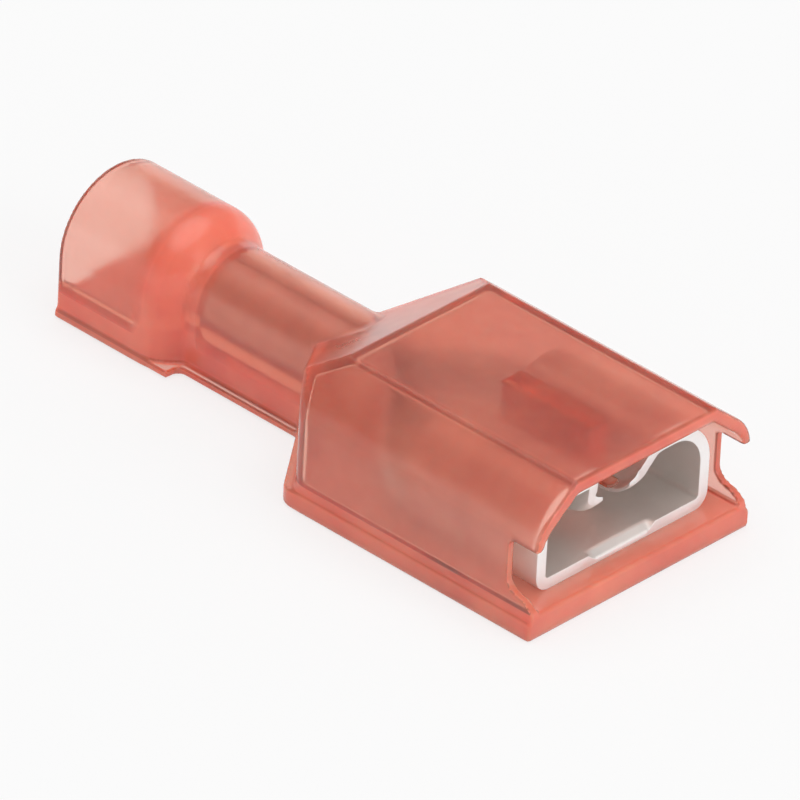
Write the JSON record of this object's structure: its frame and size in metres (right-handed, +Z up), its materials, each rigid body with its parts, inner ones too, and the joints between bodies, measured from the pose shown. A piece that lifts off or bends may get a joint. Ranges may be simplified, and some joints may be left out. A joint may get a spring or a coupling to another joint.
{
  "type": "female spade terminal",
  "caption": "Fully insulated female spade terminal: a translucent red nylon housing with a tab mouth, arched neck and wire bell over a rolled metal receptacle with a crimp barrel.",
  "frame": {"origin": "centre of the overall length and width, on the flat underside", "axes": "+X out of the tab mouth, +Y to the side, +Z up from the flat underside"},
  "size_m": [0.0224, 0.0098, 0.0049],
  "materials": {
    "nylon": "glossy translucent nylon",
    "tinned_brass": "bright tin plating"
  },
  "bodies": {
    "root": {"housing": "nylon", "receptacle": "tinned_brass"}
  },
  "joints": []
}
